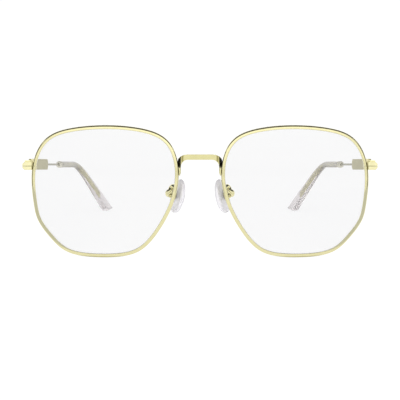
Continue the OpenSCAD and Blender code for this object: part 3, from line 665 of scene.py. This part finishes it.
def outline_at(level, side):
    for i, here in enumerate(outline):
        there = outline[(i + 1) % len(outline)]
        if here.x * side > 0 and min(here.y, there.y) <= level < max(here.y, there.y):
            return i, here.lerp(there, (level - here.y) / (there.y - here.y))


print("depth at the temple side:", round(lens_depth(28.8, 10), 2), "mm")

# %% [markdown]
# ## The section of a rim
# An eyewire is drawn wire with a groove rolled into its inner side. Its front
# is nearly flat with rounded outer edges. The section below has those
# roundings, because they carry the thin dark and bright lines that the eye
# reads as polished wire.

# %% Section of the rim wire
RIM_OUTSIDE = 0.81       # mm, outwards from the edge of the lens
RIM_INSIDE = 0.64        # inwards from it
RIM_HALF = 1.05          # half of the rim's depth
ROUND_WIDTH, ROUND_DEPTH = 0.50, 0.35
LIP_ROUNDING = 0.12
GROOVE_MOUTH = 0.52      # half of the groove's width
GROOVE_FLOOR = 0.06      # the groove ends a little outside the lens's own edge


def corner_arc(out, back, wide, deep, first, last, steps=6):
    arc = []
    for k in range(steps + 1):
        angle = math.radians(first + (last - first) * k / steps)
        arc.append((out + wide * math.cos(angle), back + deep * math.sin(angle)))
    return arc


outer_out = RIM_OUTSIDE - ROUND_WIDTH
outer_back = RIM_HALF - ROUND_DEPTH
lip_out = -RIM_INSIDE + LIP_ROUNDING
lip_back = RIM_HALF - LIP_ROUNDING
rim_section = (corner_arc(outer_out, -outer_back, ROUND_WIDTH, ROUND_DEPTH, -90, 0)
               + corner_arc(outer_out, outer_back, ROUND_WIDTH, ROUND_DEPTH, 0, 90)
               + corner_arc(lip_out, lip_back, LIP_ROUNDING, LIP_ROUNDING, 90, 180, 3)
               + [(-RIM_INSIDE, GROOVE_MOUTH), (GROOVE_FLOOR, 0.0), (-RIM_INSIDE, -GROOVE_MOUTH)]
               + corner_arc(lip_out, -lip_back, LIP_ROUNDING, LIP_ROUNDING, 180, 270, 3))
print("points in the rim section:", len(rim_section))

# %% [markdown]
# ## The rims
# The wire is bent round a former of the lens's shape and cut at the temple
# side, between the two blocks, so that a screw can close it on the lens. The
# section is carried from one side of that cut round to the other.

# %% Rims
SPLIT_LEVEL = hinge_place.z / MM - LENS_LEVEL
SPLIT_GAP = 0.12         # mm, left open between the two ends

split_index = outline_at(SPLIT_LEVEL, 1)[0]
ends = [outline_at(SPLIT_LEVEL + side * SPLIT_GAP / 2, 1)[1] for side in (-1, 1)]
order = [(split_index + 2 + k) % len(outline) for k in range(len(outline) - 2)]
stations = ([(ends[0], outward(split_index))] + [(outline[i], outward(i)) for i in order]
            + [(ends[1], outward(split_index))])
rim_rings = [[beside_edge(p, n, out, back) for out, back in rim_section] for p, n in stations]
eyewire = make_piece("eyewire_left", *skin(rim_rings), polished_gold, at_front)
both_sides(eyewire, "rim", "front")

# %% [markdown]
# ## The lenses
# A demonstration lens is a curved plate of even thickness. Its edge is ground
# to a low ridge, the bevel, which snaps into the groove of the rim. The plate
# is built as rings from the middle outwards, over the bevel and back, and the
# bevel's faces get the frosted finish. So thin a lens takes hardly any light
# from what is behind it, so diffuse light and shadows pass it by.

# %% Lenses
LENS_HALF = 0.9          # mm, half of the plate's thickness
BEVEL_HEIGHT = 0.75
BEVEL_HALF = 0.6
BEVEL_TIP = 0.08         # the ridge is a narrow flat, not a knife edge

lens_edge = [(-BEVEL_HEIGHT, -LENS_HALF), (-BEVEL_HEIGHT, -BEVEL_HALF), (0, -BEVEL_TIP),
             (0, BEVEL_TIP), (-BEVEL_HEIGHT, BEVEL_HALF), (-BEVEL_HEIGHT, LENS_HALF)]
shares = [0.03, 0.12, 0.25, 0.4, 0.55, 0.7, 0.84, 0.94]
no_shift = Vector((0, 0))            # rings on the faces aren't moved off the outline
face_rings = {side: [[beside_edge(p * share, no_shift, 0, side * LENS_HALF) for p in outline]
                     for share in shares] for side in (-1, 1)}
edge_rings = [[beside_edge(p, outward(i), out, back) for i, p in enumerate(outline)]
              for out, back in lens_edge]
lens_rings = face_rings[-1] + edge_rings + face_rings[1][::-1]
lens = make_piece("lens_plate_left", *skin(lens_rings), lens_clear, at_front, 20)
lens.data.materials.append(lens_frosted)
first_bevel = len(shares) * len(outline)
last_bevel = (len(shares) + len(lens_edge) - 1) * len(outline)
for face in lens.data.polygons[first_bevel:last_bevel]:
    face.material_index = 1
both_sides(lens, "lens", "front")
for side in ("left", "right"):
    plate = bpy.data.objects[f"lens_plate_{side}"]
    plate.visible_diffuse = plate.visible_shadow = False

# %% [markdown]
# ## The temple's path
# Behind its plate the temple is a straight wire. Over the ear it bends down and
# a little inwards, and then runs straight to its end. One function gives the
# middle of the wire at any distance from the hinge, and another an oval ring
# across it, which turns flat-side-on as it enters the bend and then twists a
# little, because the end of a tip lies flat against the head. Warm plastic bends
# over a wide former, so the bend is softer than the solid's, but it runs between
# the same two straight lines and ends in the same place.

# %% Path and rings of the temple
WIRE_SIDE = 1.85         # mm, how far out from the hinge the wire runs
FERRULE_START, FERRULE_LENGTH, FERRULE_SIZE = 58.0, 2.4, 2.9
BEND_ANGLE = math.radians(40)
BEND_LEAN = math.radians(23)
BEND_RADIUS = 30.0
SOLID_RADIUS, SOLID_DROP = 18.0, 30.0
WIDENING_START = 95.5    # where the solid's bend starts
EARLIER = (BEND_RADIUS - SOLID_RADIUS) * math.tan(BEND_ANGLE / 2)
BEND_START = WIDENING_START - EARLIER
DROP_LENGTH = SOLID_DROP - EARLIER
TIP_TWIST = math.radians(12)
FERRULE_END = FERRULE_START + FERRULE_LENGTH
TIP_START = FERRULE_END + 0.05
TIP_LENGTH = BEND_START + BEND_RADIUS * BEND_ANGLE + DROP_LENGTH


def bent_so_far(s):
    return min(max(s - BEND_START, 0) / BEND_RADIUS, BEND_ANGLE)


def temple_point(s):
    angle = bent_so_far(s)
    rest = max(s - BEND_START - BEND_RADIUS * BEND_ANGLE, 0)
    back = min(s, BEND_START) + BEND_RADIUS * math.sin(angle) + rest * math.cos(angle)
    drop = BEND_RADIUS * (1 - math.cos(angle)) + rest * math.sin(angle)
    return Vector((WIRE_SIDE - drop * math.sin(BEND_LEAN), back, -drop * math.cos(BEND_LEAN)))


def squared(value, squareness):
    return math.copysign(abs(value) ** (2 / squareness), value)


def temple_ring(s, width, thickness, sides, skew=0.0, lift=0.0, squareness=2.0):
    angle = bent_so_far(s)
    share = min(max((s - FERRULE_END) / (BEND_START - FERRULE_END), 0), 1)
    lean = BEND_LEAN * share
    along = Vector((-math.sin(BEND_LEAN) * math.sin(angle), math.cos(angle),
                    -math.cos(BEND_LEAN) * math.sin(angle)))
    flat = Vector((math.cos(lean), 0, -math.sin(lean)))
    edge = Vector((math.sin(lean) * math.cos(angle), math.sin(angle),
                   math.cos(lean) * math.cos(angle)))
    twist = TIP_TWIST * angle / BEND_ANGLE
    across = flat * math.cos(twist) + edge * math.sin(twist)
    up = edge * math.cos(twist) - flat * math.sin(twist)
    ring = []
    for k in range(sides):
        turn = 2 * math.pi * k / sides
        aside = thickness / 2 * squared(math.cos(turn), squareness)
        height = lift + width / 2 * squared(math.sin(turn), squareness)
        ring.append(temple_point(s) + across * aside + up * height + along * (skew * height))
    return ring


def read_off(table, s):
    for (s0, *low), (s1, *high) in zip(table, table[1:]):
        if s <= s1:
            t = min(max((s - s0) / (s1 - s0), 0), 1)
            return [a + (b - a) * t for a, b in zip(low, high)]
    return list(table[-1][1:])


print("temple length along the wire:", round(TIP_LENGTH, 2), "mm")

# %% [markdown]
# ## The side wire and its core
# The wire is round where it shows. Inside the tip it is rolled flat and widens
# towards its end, so that it can't turn in the plastic and can be bent to the
# ear. It is one piece from the bore in the plate to the end of the core, and the
# clear tip shows all of it. Air and skin never reach the core, so it keeps a
# warmer gold than the wire.

# %% Side wires
WIRE_START, WIRE_MIDDLE = 29.05, 44.0
WIRE_SIZE = 0.9
WIRE_SIDES = 24
CORE_WIDTH, CORE_THICKNESS, CORE_END_WIDTH = 1.7, 0.7, 3.0
CORE_FLAT = TIP_START + 8            # where the wire has become flat
CORE_END = BEND_START + 34.5
CORE_STEPS = 40
CORE_SQUARENESS = 2.6                # a round is 2, and rolled edges are fuller

wire_table = [(0, WIRE_SIZE, WIRE_SIZE), (TIP_START, WIRE_SIZE, WIRE_SIZE),
              (CORE_FLAT, CORE_WIDTH, CORE_THICKNESS), (WIDENING_START, CORE_WIDTH, CORE_THICKNESS),
              (CORE_END, CORE_END_WIDTH, CORE_THICKNESS)]
wire_places = [WIRE_START, WIRE_MIDDLE, FERRULE_START, TIP_START] + [
    TIP_START + (CORE_END - TIP_START) * k / CORE_STEPS for k in range(1, CORE_STEPS + 1)]
wire_rings = []
for s in wire_places:
    wide, thick = read_off(wire_table, s)
    squareness = CORE_SQUARENESS if s > TIP_START else 2.0
    wire_rings.append(temple_ring(s, wide, thick, WIRE_SIDES, squareness=squareness))
side_wire = make_piece("side_wire_left", *skin(wire_rings), drawn_gold, at_temple)
side_wire.data.materials.append(core_gold)
for face in side_wire.data.polygons:
    if face.index >= wire_places.index(TIP_START) * WIRE_SIDES:
        face.material_index = 1
both_sides(side_wire, "temple_wire", "temple")

# %% [markdown]
# ## The ear tips
# A tip is moulded over the core: thin behind the ferrule, deeper towards the
# end, with the lower corner rounded off and the end cut at a slant. Rings along
# the same path make it, and the last rings shrink round the end so that the
# cut has a soft edge. It is solid plastic that closes on the core.

# %% Ear tips
TIP_SIZE, TIP_WAIST, TIP_END_WIDTH = 2.8, 2.5, 9.38
TIP_ROUND, TIP_CUT, TIP_EDGE = 2.0, 1.05, 0.4
TIP_SIDES, TIP_STEPS = 40, 60
TIP_FULLNESS = 0.12                  # how far its section leaves a true oval
FIRST_RING = 0.35                    # behind the rounded front edge
SLANT_START = TIP_LENGTH - 12
ROUND_START = TIP_LENGTH - TIP_ROUND - TIP_EDGE
tip_widths = [(TIP_START, TIP_SIZE), (WIDENING_START, TIP_SIZE), (TIP_LENGTH, TIP_END_WIDTH)]
tip_depths = [(TIP_START, TIP_SIZE), (BEND_START, TIP_WAIST), (SLANT_START, TIP_SIZE)]


def tip_ring(s, off=0.0, edge=0.0):
    wide = read_off(tip_widths, min(s, ROUND_START))[0]
    thick = read_off(tip_depths, s)[0]
    skew = TIP_CUT * min(max(s - SLANT_START, 0) / (ROUND_START - SLANT_START), 1)
    squareness = 2.0 + TIP_FULLNESS * min((s - TIP_START) / 10, 1)
    return temple_ring(s, wide - off - 2 * edge, thick - 2 * edge, TIP_SIDES, skew, off / 2,
                       squareness)


tip_rings = [tip_ring(TIP_START, 0, 0.25), tip_ring(TIP_START + 0.1, 0, 0.07)]
first = TIP_START + FIRST_RING
for k in range(TIP_STEPS + 1):
    tip_rings.append(tip_ring(first + (ROUND_START - first) * k / TIP_STEPS))
for k in range(1, 7):
    turn = math.radians(15 * k)
    off = TIP_ROUND * (1 - math.cos(turn))
    tip_rings.append(tip_ring(ROUND_START + TIP_ROUND * math.sin(turn), off))
for share in (0.3, 0.65, 1.0):
    edge = TIP_EDGE * share
    tip_rings.append(tip_ring(ROUND_START + TIP_ROUND + edge, TIP_ROUND, edge))
ear_tip = make_piece("ear_tip_left", *skin(tip_rings), tip_acetate, at_temple)
both_sides(ear_tip, "temple_tip", "temple")

# %% [markdown]
# ## The ferrules
# A small domed ring hides where the wire enters the tip. It is a turned part,
# so it is made as one: a profile spun round the wire, with its bore, its dome
# and a fine groove near its back edge.

# %% Ferrules
BORE, DOME_EDGE = 0.5, 0.62          # mm, radii
DOME_DEPTH, GROOVE, SOFT_EDGE = 1.7, 0.08, 0.06


def spun(profile, steps=40):
    return [[(r * math.cos(2 * math.pi * k / steps), y, r * math.sin(2 * math.pi * k / steps))
             for k in range(steps)] for r, y in profile]


half = FERRULE_SIZE / 2
dome = [(DOME_EDGE + (half - DOME_EDGE) * math.sin(math.radians(a)),
         DOME_DEPTH * (1 - math.cos(math.radians(a)))) for a in (12, 25, 38, 50, 62, 74, 84, 90)]
ferrule_profile = [(BORE, 0.0)] + dome + [
    (half, 1.85), (half - GROOVE, 1.93), (half - GROOVE, 2.05), (half, 2.13), (half, 2.34),
    (half - SOFT_EDGE, FERRULE_LENGTH), (BORE, FERRULE_LENGTH)]
ferrule_points, ferrule_faces = skin(spun(ferrule_profile), loop=True)
ferrule = make_piece("ferrule_left", ferrule_points, ferrule_faces, ferrule_gold,
                     at_temple @ Matrix.Translation((WIRE_SIDE * MM, FERRULE_START * MM, 0)))
both_sides(ferrule, "temple_ferrule", "temple")

# %% [markdown]
# ## The nose pads
# A silicone pad is a soft cushion, a little narrower at the top. Its face is
# domed towards the nose and it is cast over a small hard insert. Rings of the
# same rounded outline grow over the back edge and shrink up the dome. Each pair
# below is a ring's size and how far through the pad it lies.

# %% Nose pads
PAD_WIDTH, PAD_HEIGHT, PAD_THICKNESS = 8.6, 14.0, 2.4
PAD_NEAR = 1.1           # from the pad's screw to its back
PAD_TAPER = 0.12         # how much narrower its upper half is
PAD_SIDES = 48
pad_levels = [(0.5, 0.0), (0.8, 0.0), (0.88, 0.02), (0.95, 0.09), (0.99, 0.2), (1.0, 0.33),
              (0.99, 0.47), (0.965, 0.6), (0.92, 0.71), (0.85, 0.8), (0.74, 0.88), (0.6, 0.94),
              (0.42, 0.98), (0.2, 0.995)]


def pad_ring(share, level):
    ring = []
    for k in range(PAD_SIDES):
        angle = 2 * math.pi * k / PAD_SIDES
        side = PAD_WIDTH / 2 * share * math.cos(angle) * (1 - PAD_TAPER * math.sin(angle))
        rise = PAD_HEIGHT / 2 * share * math.sin(angle)
        ring.append((side, -PAD_NEAR - PAD_THICKNESS * level, rise))
    return ring


pad_rings = [pad_ring(share, level) for share, level in pad_levels]
pad_cushion = make_piece("pad_cushion_left", *skin(pad_rings), pad_silicone, at_pad, 60)
both_sides(pad_cushion, "nose_pad", "pad")

# %% [markdown]
# ## The pad arms
# Each pad hangs on a short wire that is soldered behind the rim, swings back
# and outwards behind the lens, turns down, swings out once more and ends square
# to the pad's box. Opticians bend this wire to fit a nose, so it must look bent
# and not cast: a round section along a smooth curve through a few points.

# %% Pad arms
ARM_SIZE = 1.4           # mm, thickness of the wire at its two ends
ARM_SWELL = 0.7          # the bends are a little thicker than the two ends
ARM_RISE = 3.6           # of the soldered end above the pad's screw
SOLDER_GAP = 0.15        # from the back of the rim to the middle of the wire's end
ARM_STEPS, ARM_SIDES = 10, 24


def by_pad(x, y, z):
    return at_front.inverted() @ at_pad @ (Vector((x, y, z)) * MM) / MM


def smooth_path(bends, steps):
    full = [2 * bends[0] - bends[1], *bends, 2 * bends[-1] - bends[-2]]
    path = []
    for i in range(len(bends) - 1):
        a, b, c, d = full[i:i + 4]
        for k in range(steps):
            t = k / steps
            path.append((2 * b + (c - a) * t + (2 * a - 5 * b + 4 * c - d) * t ** 2
                         + (3 * b - a - 3 * c + d) * t ** 3) / 2)
    return path + [bends[-1]]


def round_wire(path, size, swell, sides):
    rings = []
    side_on = Vector((0.6, 0, 0.8))
    for k, place in enumerate(path):
        along = (path[min(k + 1, len(path) - 1)] - path[max(k - 1, 0)]).normalized()
        across = (side_on - along * side_on.dot(along)).normalized()
        side_on = across
        up = across.cross(along)
        reach = (size + swell * math.sin(math.pi * k / (len(path) - 1)) ** 2) / 2
        rings.append([place + (across * math.cos(2 * math.pi * c / sides)
                               + up * math.sin(2 * math.pi * c / sides)) * reach
                      for c in range(sides)])
    return rings


pad_screw = at_front.inverted() @ pad_place / MM
root = outline_at(pad_screw.z + ARM_RISE - LENS_LEVEL, -1)[1]
arm_root = Vector((LENS_SIDE + root.x, lens_depth(root.x, root.y) + RIM_HALF + SOLDER_GAP,
                   pad_screw.z + ARM_RISE))
arm_bends = [arm_root, arm_root + Vector((0, 1.1, 0)),
             pad_screw + Vector((0.2, -3.1, ARM_RISE + 0.6)),
             pad_screw + Vector((0.9, -2.3, ARM_RISE - 0.1)),
             pad_screw + Vector((1.3, -2.6, 2.4)),
             pad_screw + Vector((2.3, -2.6, 1.6)),
             pad_screw + Vector((2.3, -1.8, 0.6)),
             by_pad(0, 2.2, 0), by_pad(0, 1.4, 0)]
arm_rings = round_wire(smooth_path(arm_bends, ARM_STEPS), ARM_SIZE, ARM_SWELL, ARM_SIDES)
arm_wire = make_piece("arm_wire_left", *skin(arm_rings), arm_highlight_gold, at_front, 60)
both_sides(arm_wire, "pad_arm", "front")

# %% [markdown]
# ## Small stamped and milled parts
# Bridge, blocks, hinges, plates, boxes, inserts and screws are right as solids,
# but no cut edge on a plated part is ever sharp: tumbling and polishing rounds
# it by a tenth of a millimetre. A bevel modifier does the same, and shading that
# follows the large faces keeps the flats flat.

# %% Soft edges and finishes for the solid parts
EDGE_SEGMENTS = 3
EDGE_ANGLE = math.radians(32)        # only corners sharper than this are rounded
SAME_POINT = 1e-6                    # metres between corners that are joined first


def polish_node(name, material, edge_mm):
    piece = frame["nodes"][name]
    piece.data.materials.clear()
    piece.data.materials.append(material)
    weld = piece.modifiers.new("joined corners", "WELD")
    weld.merge_threshold = SAME_POINT
    edge = piece.modifiers.new("soft edges", "BEVEL")
    edge.width = edge_mm * MM
    edge.segments = EDGE_SEGMENTS
    edge.limit_method = "ANGLE"
    edge.angle_limit = EDGE_ANGLE
    shade = piece.modifiers.new("even shading", "WEIGHTED_NORMAL")
    shade.keep_sharp = True


polish_node("bridge", bridge_gold, 0.22)
for side in ("left", "right"):
    polish_node(f"end_piece_{side}", bright_gold, 0.1)
    polish_node(f"closing_block_{side}", bright_gold, 0.1)
    polish_node(f"rim_screw_{side}", screw_gold, 0.03)
    polish_node(f"front_hinge_{side}", satin_gold, 0.05)
    polish_node(f"hinge_screw_{side}", screw_gold, 0.03)
    polish_node(f"temple_hinge_{side}", satin_gold, 0.05)
    polish_node(f"temple_plate_{side}", brushed_shaded_gold, 0.12)
    polish_node(f"pad_box_{side}", polished_gold, 0.05)
    polish_node(f"pad_screw_{side}", screw_gold, 0.03)
    polish_node(f"pad_insert_{side}", pad_plastic, 0.05)
print("solid parts finished")
